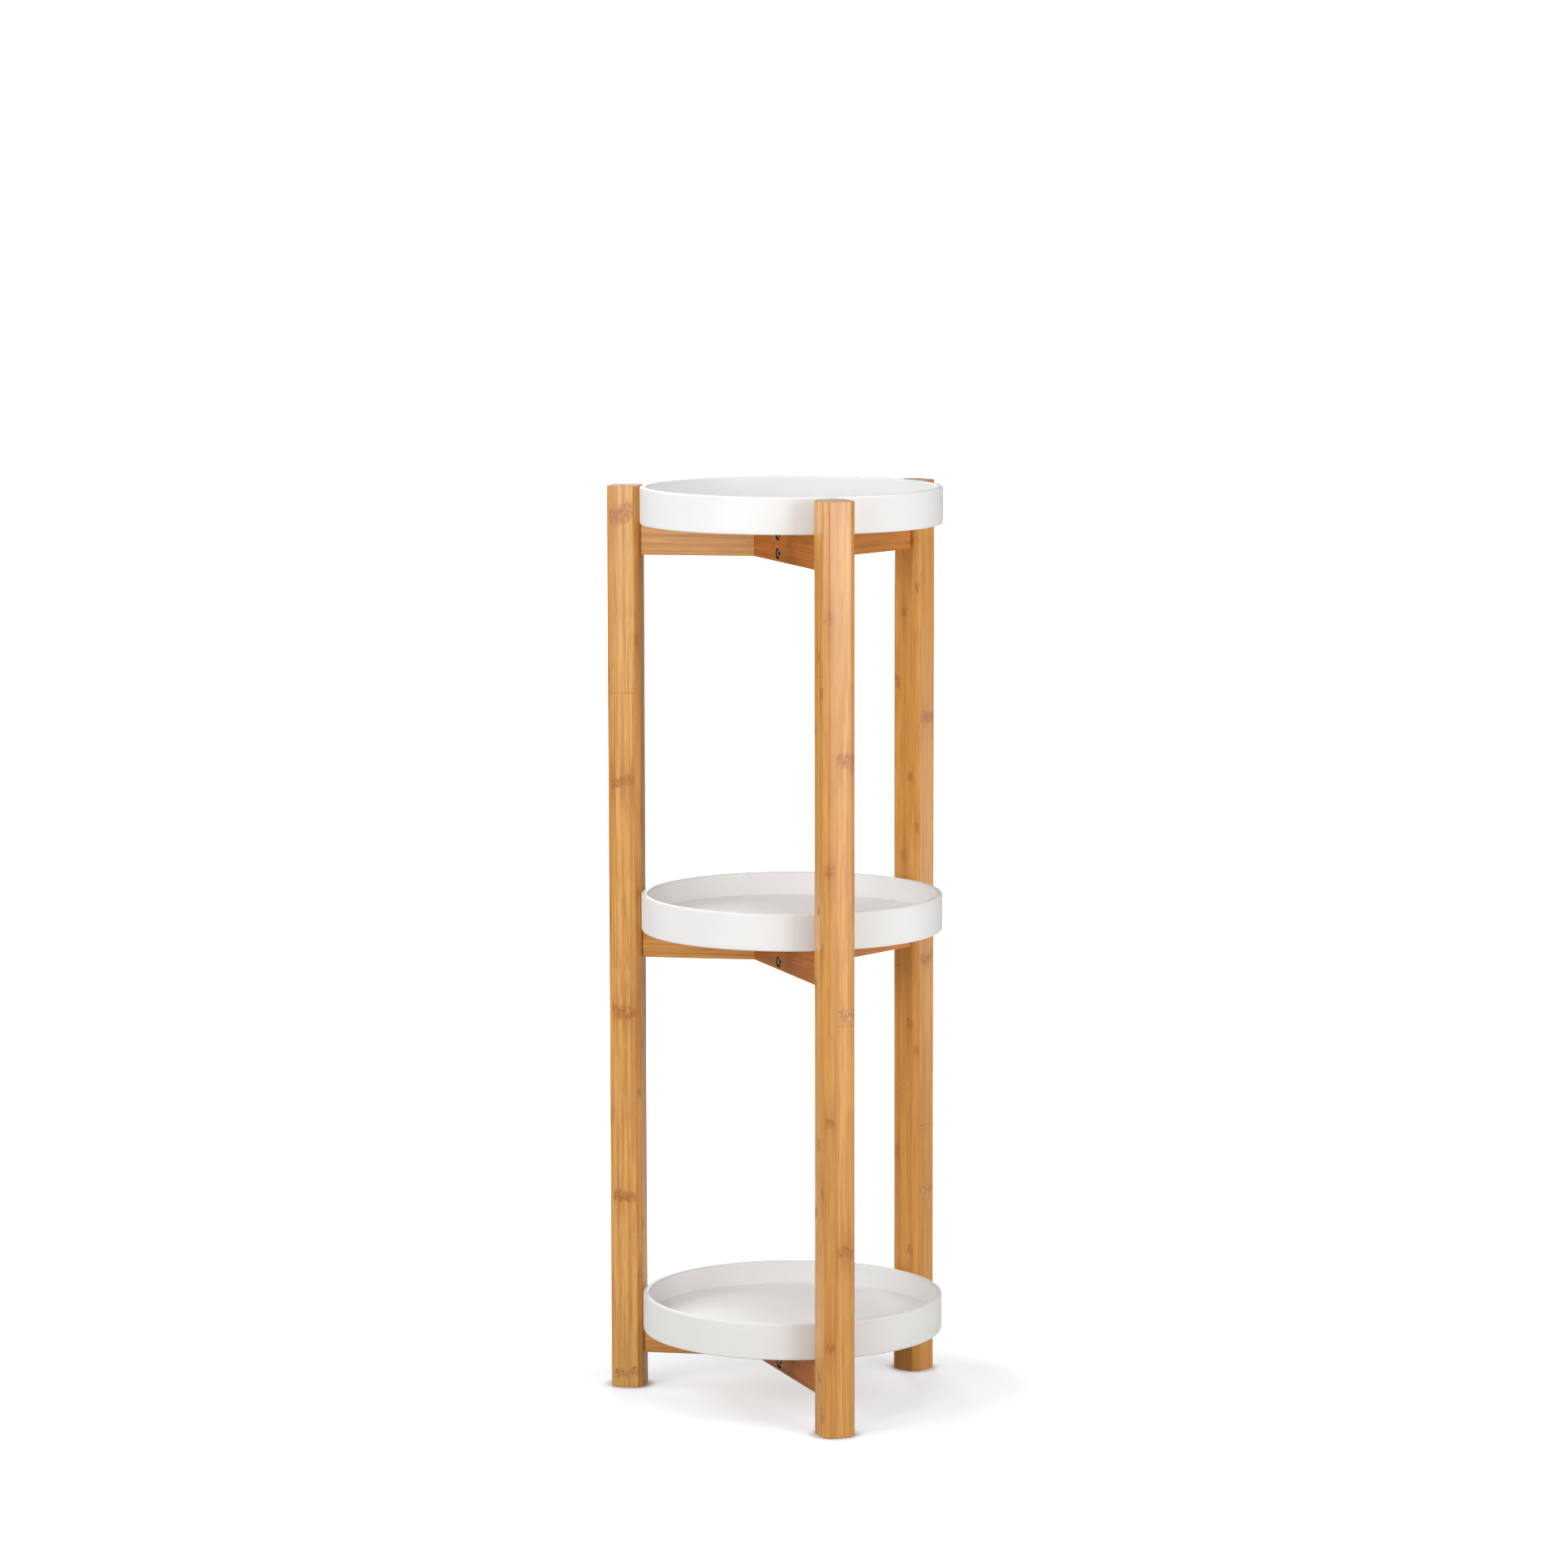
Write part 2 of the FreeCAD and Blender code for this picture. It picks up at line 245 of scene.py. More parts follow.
def buildStripGroup():
    group, entry, leave = newGroup(
        "bambooStrips",
        {
            "Grain": "Vector", "Strip": "Float", "Layer": "Float", "Slide": "Float", "Spacing": "Float",
            "Drift": "Float", "Phase": "Float", "Butt": "Float", "Seed": "Float",
        },
        {"Tone": "Float", "Seam": "Float", "Joint": "Float", "Pale": "Float", "Butt": "Float"},
    )
    across, deep, along = addNode(group, "SeparateXYZ", {0: entry["Grain"]}).outputs
    layerPlace = calc(group, "ADD", calc(group, "DIVIDE", deep, entry["Layer"]), 0.5)
    layer = calc(group, "FLOOR", layerPlace)
    slide = calc(group, "MULTIPLY_ADD", layer, stripLay["layerSlide"], entry["Slide"])
    stripPlace = calc(group, "ADD", calc(group, "DIVIDE", across, entry["Strip"]), slide)
    strip = calc(group, "FLOOR", stripPlace)

    # seams: distance to the nearest edge of the strip or the layer
    seamAcross = calc(group, "MULTIPLY", calc(group, "PINGPONG", stripPlace, 0.5), entry["Strip"])
    seamDeep = calc(group, "MULTIPLY", calc(group, "PINGPONG", layerPlace, 0.5), entry["Layer"])
    seam = calc(group, "MINIMUM", seamAcross, seamDeep)

    # each strip starts its joints at another height than its neighbours
    lag = calc(group, "MULTIPLY_ADD", strip, stripLay["stripPhase"], entry["Phase"])
    lag = calc(group, "MULTIPLY_ADD", layer, stripLay["layerPhase"], lag)
    bend = calc(group, "MULTIPLY", calc(group, "MULTIPLY", along, along), entry["Drift"])
    step = calc(group, "ADD", calc(group, "DIVIDE", along, entry["Spacing"]), calc(group, "ADD", lag, bend))
    layerSeed = calc(group, "ADD", layer, entry["Seed"])
    jointChance = randomOf(group, calc(group, "FLOOR", step), strip, layerSeed)
    stray = calc(group, "MULTIPLY", calc(group, "SUBTRACT", jointChance[0], 0.5), stripLay["stray"])
    fromJoint = calc(group, "SUBTRACT", calc(group, "FRACT", step), calc(group, "ADD", stray, 0.5))
    joint = calc(group, "MULTIPLY", fromJoint, entry["Spacing"])

    # butted ends: the next length of the strip has a tone of its own
    buttLag = calc(group, "MULTIPLY_ADD", strip, stripLay["stripPhase"], entry["Butt"])
    buttLag = calc(group, "MULTIPLY_ADD", layer, stripLay["layerPhase"], buttLag)
    buttPlace = calc(group, "ADD", calc(group, "DIVIDE", along, stripLay["buttLength"]), buttLag)
    butt = calc(group, "MULTIPLY", calc(group, "PINGPONG", buttPlace, 0.5), stripLay["buttLength"])
    lengthChance = randomOf(group, strip, calc(group, "FLOOR", buttPlace), layerSeed)
    stripChance = randomOf(group, strip, layerSeed, stripLay["toneSeed"])
    lengthTone = calc(group, "MULTIPLY", lengthChance[0], stripLay["lengthTone"])
    tone = calc(group, "MULTIPLY_ADD", stripChance[0], stripLay["stripTone"], lengthTone)

    pale = fade(group, jointChance[1], *stripLay["paleChance"])
    made = {"Tone": tone, "Seam": seam, "Joint": joint, "Pale": pale, "Butt": butt}
    for label, value in made.items():
        group.links.new(value, leave[label])
    return group


# shared effect: fibres that run along the board; each is a noise with its own scale across, deep and along
fibreLay = {
    "streak": (230, 230, 2.6), "fine": (640, 640, 11), "fineRough": 0.75,
    "fleck": (950, 950, 36), "fleckSpan": (0.58, 0.70),
    "curl": (430, 430, 190), "curlRough": 0.55, "curlSwirl": 1.1, "curlSpan": (0.22, 0.04),
    "patch": (210, 210, 120), "cloud": (95, 95, 26),
}


def buildFibreGroup():
    masks = ("Streak", "Fine", "Fleck", "Curl", "Patch", "Cloud")
    group, entry, leave = newGroup(
        "bambooFibres", {"Grain": "Vector", "Seed": "Float"}, {label: "Float" for label in masks}
    )
    shift = addNode(group, "CombineXYZ", {0: entry["Seed"], 1: 0.0, 2: entry["Seed"]}).outputs[0]
    place = addNode(group, "VectorMath", {0: entry["Grain"], 1: shift}).outputs[0]
    fleck = noise(group, stretched(group, place, fibreLay["fleck"]), detail=1)
    curlPlace = stretched(group, place, fibreLay["curl"])
    curl = noise(group, curlPlace, detail=2, rough=fibreLay["curlRough"], swirl=fibreLay["curlSwirl"])
    ridge = calc(group, "ABSOLUTE", calc(group, "MULTIPLY_ADD", curl, 2.0, -1.0))
    finePlace = stretched(group, place, fibreLay["fine"])
    made = {
        "Streak": noise(group, stretched(group, place, fibreLay["streak"]), detail=3),
        "Fine": noise(group, finePlace, detail=4, rough=fibreLay["fineRough"]),
        "Fleck": fade(group, fleck, *fibreLay["fleckSpan"]),
        "Curl": fade(group, ridge, *fibreLay["curlSpan"]),
        "Patch": noise(group, stretched(group, place, fibreLay["patch"]), detail=1),
        "Cloud": noise(group, stretched(group, place, fibreLay["cloud"]), detail=2),
    }
    for label in masks:
        group.links.new(made[label], leave[label])
    return group


stripGroup = buildStripGroup()
fibreGroup = buildFibreGroup()

bambooTones = {
    "straw": (0.82, 0.440, 0.106, 1),
    "honey": (0.71, 0.330, 0.056, 1),
    "caramel": (0.51, 0.190, 0.023, 1),
    "russet": (0.56, 0.115, 0.013, 1),
    "umber": (0.27, 0.065, 0.009, 1),
    "joint": (0.37, 0.108, 0.009, 1),
    "scar": (0.85, 0.54, 0.22, 1),
}

# spans are where a mask starts and ends, in metres at joints, seams and butts; depths are shares of a blend
bamboo = {
    "coatRough": 0.27, "specular": 0.3,
    "cloudSpan": (0.4, 0.75), "cloudDepth": 0.22,
    "streakSpan": (0.42, 0.66), "streakDepth": 0.5,
    "fineSpan": (0.46, 0.58), "fineDepth": 0.6, "fleckDepth": 0.26,
    "stainSpan": (0.034, 0.003), "stainStreak": (0.36, 0.62), "stainDepth": 0.8,
    "ragged": 0.02, "bandCore": 0.3, "bandDepth": 0.5, "paleDepth": 0.42,
    "bandAtSeam": (0.0, 0.0025, 0.35, 1.0), "bandPatches": (0.28, 0.48, 0.45, 1.0),
    "seamSpan": (0.0005, 0.0001), "seamDepth": 0.22, "buttSpan": (0.0006, 0.0002), "buttDepth": 0.5,
    "rough": 0.36, "fineRough": 0.14, "curlRough": 0.06,
    "fineRise": 0.5, "fleckDip": 0.5, "curlDip": 0.2, "bump": 0.3, "bumpHeight": 0.0002,
}


def mixedTone(first, second, share):
    return tuple(a + (b - a) * share for a, b in zip(bambooTones[first], bambooTones[second]))


def bambooMaterial(name, board):
    material, tree, shader = newMaterial(
        name, Coat_Weight=board["coat"], Coat_Roughness=bamboo["coatRough"],
        Specular_IOR_Level=bamboo["specular"],
    )
    grain = addNode(tree, "Attribute", attribute_name="grain").outputs["Vector"]
    laid = ("strip", "layer", "slide", "spacing", "drift", "phase", "butt", "seed")
    lay = useGroup(tree, stripGroup, {"Grain": grain, **{key.title(): board[key] for key in laid}})
    fibre = useGroup(tree, fibreGroup, {"Grain": grain, "Seed": board["seed"]})
    deep = mixedTone("caramel", "umber", board["red"])
    burnt = mixedTone("joint", "umber", board["red"])

    # wood between the joints
    tone = fade(tree, calc(tree, "ADD", lay["Tone"], board["tone"]), 0.0, 1.0)
    colour = blend(tree, tone, bambooTones["straw"], bambooTones["honey"])
    colour = blend(tree, board["red"], colour, bambooTones["russet"])
    for mask in ("cloud", "streak", "fine"):
        spread = fade(tree, fibre[mask.title()], *bamboo[mask + "Span"])
        colour = blend(tree, calc(tree, "MULTIPLY", spread, bamboo[mask + "Depth"]), colour, deep)
    colour = blend(tree, calc(tree, "MULTIPLY", fibre["Fleck"], bamboo["fleckDepth"]), colour, burnt)

    # culm joints: a stain drawn out along the fibres, and a ragged band of curls, in some with a pale filling
    near = fade(tree, calc(tree, "ABSOLUTE", lay["Joint"]), *bamboo["stainSpan"])
    stain = calc(tree, "MULTIPLY", near, fade(tree, fibre["Streak"], *bamboo["stainStreak"]))
    brown = calc(tree, "SUBTRACT", 1.0, lay["Pale"])
    stain = calc(tree, "MULTIPLY", stain, calc(tree, "MULTIPLY", brown, bamboo["stainDepth"]))
    colour = blend(tree, stain, colour, deep)
    wander = calc(tree, "SUBTRACT", fibre["Cloud"], 0.5)
    ragged = calc(tree, "ABSOLUTE", calc(tree, "MULTIPLY_ADD", wander, bamboo["ragged"], lay["Joint"]))
    band = fade(tree, ragged, board["jointReach"], bamboo["bandCore"] * board["jointReach"])
    band = calc(tree, "MULTIPLY", band, fade(tree, lay["Seam"], *bamboo["bandAtSeam"]))
    band = calc(tree, "MULTIPLY", band, fade(tree, fibre["Patch"], *bamboo["bandPatches"]))
    colour = blend(tree, calc(tree, "MULTIPLY", band, bamboo["bandDepth"]), colour, deep)
    filling = calc(tree, "MULTIPLY", calc(tree, "MULTIPLY", band, lay["Pale"]), bamboo["paleDepth"])
    colour = blend(tree, filling, colour, bambooTones["scar"])
    curls = calc(tree, "MULTIPLY", band, fibre["Curl"])
    colour = blend(tree, calc(tree, "MULTIPLY", curls, board["jointDepth"]), colour, burnt)

    # glue seams and butted ends
    seam = calc(tree, "MULTIPLY", fade(tree, lay["Seam"], *bamboo["seamSpan"]), bamboo["seamDepth"])
    butt = calc(tree, "MULTIPLY", fade(tree, lay["Butt"], *bamboo["buttSpan"]), bamboo["buttDepth"])
    gap = calc(tree, "MAXIMUM", seam, butt)
    colour = blend(tree, gap, colour, bambooTones["joint"])
    tree.links.new(colour, shader.inputs["Base Color"])

    rough = calc(tree, "MULTIPLY_ADD", fibre["Fine"], bamboo["fineRough"], bamboo["rough"])
    rough = calc(tree, "MULTIPLY_ADD", curls, bamboo["curlRough"], rough)
    tree.links.new(rough, shader.inputs["Roughness"])
    dips = calc(tree, "MULTIPLY_ADD", fibre["Fleck"], bamboo["fleckDip"], gap)
    dips = calc(tree, "MULTIPLY_ADD", curls, bamboo["curlDip"], dips)
    height = calc(tree, "SUBTRACT", calc(tree, "MULTIPLY", fibre["Fine"], bamboo["fineRise"]), dips)
    bumpInto(tree, shader, height, bamboo["bump"], bamboo["bumpHeight"])
    return material


# plainer finishes: a pale and a dark colour mixed by a noise, which also varies the roughness
def mottled(tree, shader, finish, cloud, roughness, height):
    colour = blend(tree, fade(tree, cloud, *finish["span"]), finish["pale"], finish["dark"])
    tree.links.new(colour, shader.inputs["Base Color"])
    rough = calc(tree, "MULTIPLY_ADD", roughness, finish["roughVary"], finish["rough"])
    tree.links.new(rough, shader.inputs["Roughness"])
    bumpInto(tree, shader, height, finish["bump"], finish["bumpHeight"])
    return colour


endCut = {
    "pale": (0.57, 0.42, 0.31, 1), "dark": (0.50, 0.355, 0.255, 1), "scale": 160, "span": (0.3, 0.7),
    "bundle": (0.42, 0.26, 0.15, 1), "bundles": 780.0, "bundleSpan": (0.42, 0.24), "bundleDepth": 0.6,
    "rough": 0.45, "roughVary": 0.2, "bump": 0.3, "bumpHeight": -0.0002, "specular": 0.15,
}


def endGrainMaterial():
    material, tree, shader = newMaterial("bambooEndGrain", Specular_IOR_Level=endCut["specular"])
    grain = addNode(tree, "Attribute", attribute_name="grain").outputs["Vector"]
    flat = stretched(tree, grain, (1, 1, 0))
    bundles = addNode(tree, "TexVoronoi", {"Vector": flat, "Scale": endCut["bundles"]}).outputs[0]
    dots = fade(tree, bundles, *endCut["bundleSpan"])
    cloud = noise(tree, flat, endCut["scale"], 3)
    ground = mottled(tree, shader, endCut, cloud, cloud, dots)
    colour = blend(tree, calc(tree, "MULTIPLY", dots, endCut["bundleDepth"]), ground, endCut["bundle"])
    tree.links.new(colour, shader.inputs["Base Color"])
    return material


paint = {
    "pale": (0.86, 0.86, 0.85, 1), "dark": (0.83, 0.83, 0.82, 1), "scale": 14, "span": (0.3, 0.7),
    "roughScale": 60, "rough": 0.33, "roughVary": 0.14, "coat": 0.06, "coatRough": 0.25,
    "peelScale": 850, "bump": 0.12, "bumpHeight": 0.0001,
}


def paintMaterial():
    material, tree, shader = newMaterial(
        "trayPaint", Coat_Weight=paint["coat"], Coat_Roughness=paint["coatRough"]
    )
    place = addNode(tree, "TexCoord").outputs["Object"]
    cloud = noise(tree, place, paint["scale"], 3)
    peel = noise(tree, place, paint["peelScale"], 1)
    mottled(tree, shader, paint, cloud, noise(tree, place, paint["roughScale"], 2), peel)
    return material


zinc = {
    "scale": 420, "span": (0.35, 0.7), "darker": 0.78, "scratch": (300, 300, 2400),
    "rough": 0.28, "roughVary": 0.2, "bump": 0.1, "bumpHeight": 0.0001,
}


def zincMaterial(name, tint):
    material, tree, shader = newMaterial(name, Metallic=1.0)
    place = addNode(tree, "TexCoord").outputs["Object"]
    cloud = noise(tree, place, zinc["scale"], 3)
    scratch = noise(tree, stretched(tree, place, zinc["scratch"]), 1, 2)
    shade = tuple(zinc["darker"] * part for part in tint[:3]) + (1,)
    mottled(tree, shader, {**zinc, "pale": tint, "dark": shade}, cloud, scratch, scratch)
    return material


beech = {
    "pale": (0.66, 0.46, 0.27, 1), "dark": (0.5, 0.3, 0.15, 1), "scale": (700, 700, 700), "span": (0.4, 0.65),
    "rough": 0.5, "roughVary": 0.2, "bump": 0.2, "bumpHeight": 0.0001, "specular": 0.3,
}


def dowelMaterial():
    material, tree, shader = newMaterial("dowelBeech", Specular_IOR_Level=beech["specular"])
    place = addNode(tree, "TexCoord").outputs["Object"]
    rays = noise(tree, stretched(tree, place, beech["scale"]), 1, 3)
    mottled(tree, shader, beech, rays, rays, rays)
    return material


# raw wood in a drilled hole, painted dark as painted shade inside the hole
boreInPaintedShade = {
    "pale": (0.30, 0.13, 0.05, 1), "dark": (0.15, 0.055, 0.02, 1), "scale": 900, "span": (0.35, 0.7),
    "rough": 0.6, "roughVary": 0.2, "bump": 0.3, "bumpHeight": 0.0002, "specular": 0.2,
}


def boreMaterial():
    material, tree, shader = newMaterial("boreWood", Specular_IOR_Level=boreInPaintedShade["specular"])
    place = addNode(tree, "TexCoord").outputs["Object"]
    boreMottle = noise(tree, place, boreInPaintedShade["scale"], 3)
    mottled(tree, shader, boreInPaintedShade, boreMottle, boreMottle, boreMottle)
    return material


# the inside of each bolt's socket: near-black painted shade in the recess
socketPaintedShade = {
    "pale": (0.05, 0.045, 0.04, 1), "dark": (0.02, 0.018, 0.016, 1), "scale": 1100, "span": (0.3, 0.7),
    "rough": 0.4, "roughVary": 0.3, "bump": 0.2, "bumpHeight": 0.0001, "metal": 0.6,
}


def socketMaterial():
    material, tree, shader = newMaterial("socketShade", Metallic=socketPaintedShade["metal"])
    place = addNode(tree, "TexCoord").outputs["Object"]
    socketShadeMottle = noise(tree, place, socketPaintedShade["scale"], 2)
    mottled(tree, shader, socketPaintedShade, socketShadeMottle, socketShadeMottle, socketShadeMottle)
    return material


# boards that the legs and crossbars are cut from: strip, layer, spacing and jointReach in metres, slide, phase
# and butt as shares of a strip or a step, tone from pale to dark, red towards russet, coat of lacquer
legBoard = {"layer": 0.0072, "red": 0.0, "coat": 0.95, "jointReach": 0.0068, "jointDepth": 0.85}
legBoards = {
    "front": {
        **legBoard, "strip": 0.019, "slide": 0.977, "spacing": 0.2091, "drift": -0.6, "phase": 0.2432,
        "butt": 0.62, "seed": 3.0, "tone": 0.0, "quarterTurn": False,
    },
    "right": {
        **legBoard, "strip": 0.019, "slide": 0.24, "spacing": 0.212, "drift": 0.0, "phase": 0.74,
        "butt": 0.3, "seed": 7.0, "tone": 0.3, "quarterTurn": True,
    },
    "left": {
        **legBoard, "strip": 0.022, "slide": -0.2855, "spacing": 0.191, "drift": -1.907, "phase": 0.2355,
        "butt": 0.221, "seed": 5.0, "tone": -0.15, "quarterTurn": True,
    },
}
barBoard = {
    "strip": 0.034, "layer": 0.0065, "spacing": 0.19, "drift": 0.0, "butt": 0.45, "coat": 0.25,
    "jointReach": 0.014, "jointDepth": 0.6,
}
# the front and right bars' redder, darker tone is partly a tone of their own and partly painted shade, for
# faces that lie in shade under the trays and away from the lamps
barBoards = {
    "front": {**barBoard, "slide": 0.87, "phase": 0.848, "seed": 11.0, "tone": 0.4, "red": 0.65},
    "right": {**barBoard, "slide": 0.87, "phase": 0.29, "seed": 13.0, "tone": 0.4, "red": 0.45},
    "left": {**barBoard, "slide": 0.13, "phase": 0.71, "seed": 17.0, "tone": 0.1, "red": 0.1, "coat": 0.7},
}
legBamboo = {comb: bambooMaterial(f"leg{comb.title()}Bamboo", legBoards[comb]) for comb in legBoards}
barBamboo = {comb: bambooMaterial(f"bar{comb.title()}Bamboo", barBoards[comb]) for comb in barBoards}
endGrain = endGrainMaterial()
boreWood = boreMaterial()
trayPaint = paintMaterial()
boltZinc = zincMaterial("boltZinc", (0.52, 0.47, 0.40, 1))
socketShade = socketMaterial()
insertZinc = zincMaterial("insertZinc", (0.62, 0.6, 0.52, 1))
dowelBeech = dowelMaterial()
print("materials ready:", len(bpy.data.materials))


def markGrain(mesh, toGrain):
    # grain runs x across the strips, y through the layers, z along the board
    places = [part for vertex in mesh.vertices for part in toGrain @ vertex.co]
    mesh.attributes.new("grain", "FLOAT_VECTOR", "POINT").data.foreach_set("vector", places)


# bolts: one in the front comb's frame, its head at the far side of the bar that it goes through
bolt = {
    "radius": 0.0025, "holeFit": 0.00025, "fromEdge": 0.007,
    "headRadius": 0.00425, "headHeight": 0.005, "headFit": 0.00065, "headRound": 0.0005, "roundSteps": 3,
    "socketFlats": 0.004, "socketDepth": 0.0025, "socketPoint": 1 / 6, "socketSides": 6, "sides": 48,
    "insertRadius": 0.004, "insertFit": 0.0001, "insertLength": 0.012, "tipRoom": 0.001,
}
dowel = {"radius": 0.004, "fit": 0.0001, "fromEdge": 0.008, "depth": 0.015, "room": 0.001}
bar = {"mitre": radians(30), "round": 0.0008, "roundSteps": 3, "overrun": 0.002, "cutStep": 0.38}

barLow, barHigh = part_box("bar_bottom_front")
barMiddle = (barLow + barHigh) / 2
barSlant = (barHigh.x - barLow.x) * tan(bar["mitre"])
mitreMiddle = barHigh.y - barSlant / 2
headFace = mitreMiddle + (barHigh.x - barLow.x) / cos(bar["mitre"])
boreRadius = bolt["headRadius"] + bolt["headFit"]
headSeat = headFace - bolt["headHeight"] - boreRadius * tan(bar["mitre"])
insertBore = bolt["insertRadius"] + bolt["insertFit"]
insertMouth = mitreMiddle - insertBore * tan(bar["mitre"])
boltTip = insertMouth - bolt["insertLength"]
boltHeights = (barLow.z + bolt["fromEdge"], barHigh.z - bolt["fromEdge"])
dowelHeights = (barLow.z + dowel["fromEdge"], barHigh.z - dowel["fromEdge"])


def makeBoltMesh():
    bm = bmesh.new()
    corner = bolt["socketFlats"] / sqrt(3)
    bmesh.ops.create_circle(bm, cap_ends=False, segments=bolt["socketSides"], radius=corner)
    bmesh.ops.subdivide_edges(bm, edges=bm.edges[:], cuts=bolt["sides"] // bolt["socketSides"] - 1)
    socketRim = bm.edges[:]
    made = bmesh.ops.create_circle(bm, cap_ends=False, segments=bolt["sides"], radius=bolt["headRadius"])
    headRim = [edge for edge in bm.edges if edge.verts[0] in made["verts"]]
    bmesh.ops.bridge_loops(bm, edges=socketRim + headRim)

    # the socket goes down to a shallow point
    made = bmesh.ops.extrude_edge_only(bm, edges=socketRim)
    shaded = newFaces(made)
    bmesh.ops.translate(bm, vec=(0, 0, -bolt["socketDepth"]), verts=newVerts(made))
    made = bmesh.ops.extrude_edge_only(bm, edges=newEdges(made))
    shaded += newFaces(made)
    # the socket's walls and point take the second material: painted shade
    for face in shaded:
        face.material_index = 1
    centre = newVerts(made)
    point = bolt["socketFlats"] * bolt["socketPoint"]
    bmesh.ops.translate(bm, vec=(0, 0, -point), verts=centre)
    bmesh.ops.pointmerge(bm, verts=centre, merge_co=(0, 0, -bolt["socketDepth"] - point))

    # head, shoulder and shank
    made = bmesh.ops.extrude_edge_only(bm, edges=headRim)
    bmesh.ops.translate(bm, vec=(0, 0, -bolt["headHeight"]), verts=newVerts(made))
    made = bmesh.ops.extrude_edge_only(bm, edges=newEdges(made))
    narrow = bolt["radius"] / bolt["headRadius"]
    bmesh.ops.scale(bm, vec=(narrow, narrow, 1), verts=newVerts(made))
    made = bmesh.ops.extrude_edge_only(bm, edges=newEdges(made))
    bmesh.ops.translate(bm, vec=(0, 0, boltTip - headSeat), verts=newVerts(made))
    tipRim = newEdges(made)
    bmesh.ops.edgeloop_fill(bm, edges=tipRim)
    bmesh.ops.remove_doubles(bm, verts=bm.verts[:], dist=weldGap)
    bmesh.ops.recalc_face_normals(bm, faces=bm.faces[:])
    rims = [edge for edge in headRim + tipRim if edge.is_valid]
    softenEdges(bm, rims, bolt["headRound"], bolt["roundSteps"])

    # lay the bolt along the comb, head to the back
    headTop = Vector((barMiddle.x, headSeat + bolt["headHeight"], boltHeights[0]))
    place = Matrix.Translation(headTop) @ Matrix.Rotation(-pi / 2, 4, "X")
    bmesh.ops.transform(bm, matrix=place, verts=bm.verts[:])
    return meshFrom(bm, "bolt")


def makeBolts(tier, mesh):
    bm = bmesh.new()
    for comb in combTurns:
        for height in boltHeights:
            bm.from_mesh(mesh)
            fresh = bm.verts[-len(mesh.vertices):]
            lift = Matrix.Translation((0, 0, height - boltHeights[0]))
            bmesh.ops.transform(bm, matrix=turnedToComb(comb) @ lift @ liftToTier(tier), verts=fresh)
    name = f"bolts{tier.title()}"
    addPiece(name, meshFrom(bm, name), "frame", "bolt_steel", f"bolts_{tier}", boltZinc, socketShade)


boltMesh = makeBoltMesh()
for tier in tiers:
    makeBolts(tier, boltMesh)
print("bolts made:", len(tiers) * len(combTurns) * len(boltHeights))


# crossbars: one drilled blank, laid at every tier and comb
def makeBarMesh():
    plan = [
        (barLow.x, barLow.y), (barHigh.x, barLow.y),
        (barHigh.x, barHigh.y - barSlant), (barLow.x, barHigh.y),
    ]
    bm = bmesh.new()
    foot = bm.faces.new([bm.verts.new((x, y, barLow.z)) for x, y in plan])
    made = bmesh.ops.extrude_face_region(bm, geom=[foot], use_keep_orig=True)
    bmesh.ops.translate(bm, vec=(0, 0, barHigh.z - barLow.z), verts=newVerts(made))
    bmesh.ops.recalc_face_normals(bm, faces=bm.faces[:])
    softenEdges(bm, bm.edges[:], bar["round"], bar["roundSteps"])
    blank = meshFrom(bm, "barBlank")

    # counterbored holes for the next comb's bolts, then this bar's own insert and dowel holes
    cutter = bmesh.new()
    past = bar["overrun"]
    slope = boreRadius * tan(bar["mitre"])
    for height in boltHeights:
        rodAlongY(cutter, boreRadius, barMiddle.x, height, headSeat, headFace + slope + past)
        rodAlongY(
            cutter, bolt["radius"] + bolt["holeFit"], barMiddle.x, height,
            mitreMiddle - slope - past, headSeat + past,
        )
    bmesh.ops.transform(cutter, matrix=turnedToComb("right"), verts=cutter.verts[:])
    for height in boltHeights:
        rodAlongY(
            cutter, insertBore, barMiddle.x, height,
            boltTip - bolt["tipRoom"], mitreMiddle + slope + past,
        )
    for height in dowelHeights:
        rodAlongY(
            cutter, dowel["radius"] + dowel["fit"], barMiddle.x, height,
            barLow.y - past, barLow.y + dowel["depth"] + dowel["room"],
        )
    return drilled(blank, meshFrom(cutter, "barDrill"))


def makeBar(tier, comb):
    name = f"bar{tier.title()}{comb.title()}"
    mesh = barMesh.copy()
    mesh.name = name
    place = turnedToComb(comb) @ liftToTier(tier)
    mesh.transform(place)
    # across the strips is up, through the layers is sideways, along is outwards; each bar is cut from its
    # own place along the board
    alongBar = Matrix(((0, 0, 1, 0), (1, 0, 0, 0), (0, 1, 0, 0), (0, 0, 0, 1)))
    cutFrom = Matrix.Translation((0, 0, tiers.index(tier) * bar["cutStep"]))
    markGrain(mesh, cutFrom @ alongBar @ Matrix.Translation(-barMiddle) @ place.inverted())
    addPiece(name, mesh, "frame", "bamboo", f"bar_{tier}_{comb}", barBamboo[comb], boreWood)


barMesh = makeBarMesh()
for tier in tiers:
    for comb in combTurns:
        makeBar(tier, comb)
print("crossbars made:", len(tiers) * len(combTurns))


# legs: square posts with broad chamfers, softened arrises and dowel holes in the inner face
leg = {"chamfer": 0.0045, "round": 0.001, "roundSteps": 3, "endFacing": 0.5}
legLow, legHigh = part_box("leg_front")
legMiddle = (legLow + legHigh) / 2


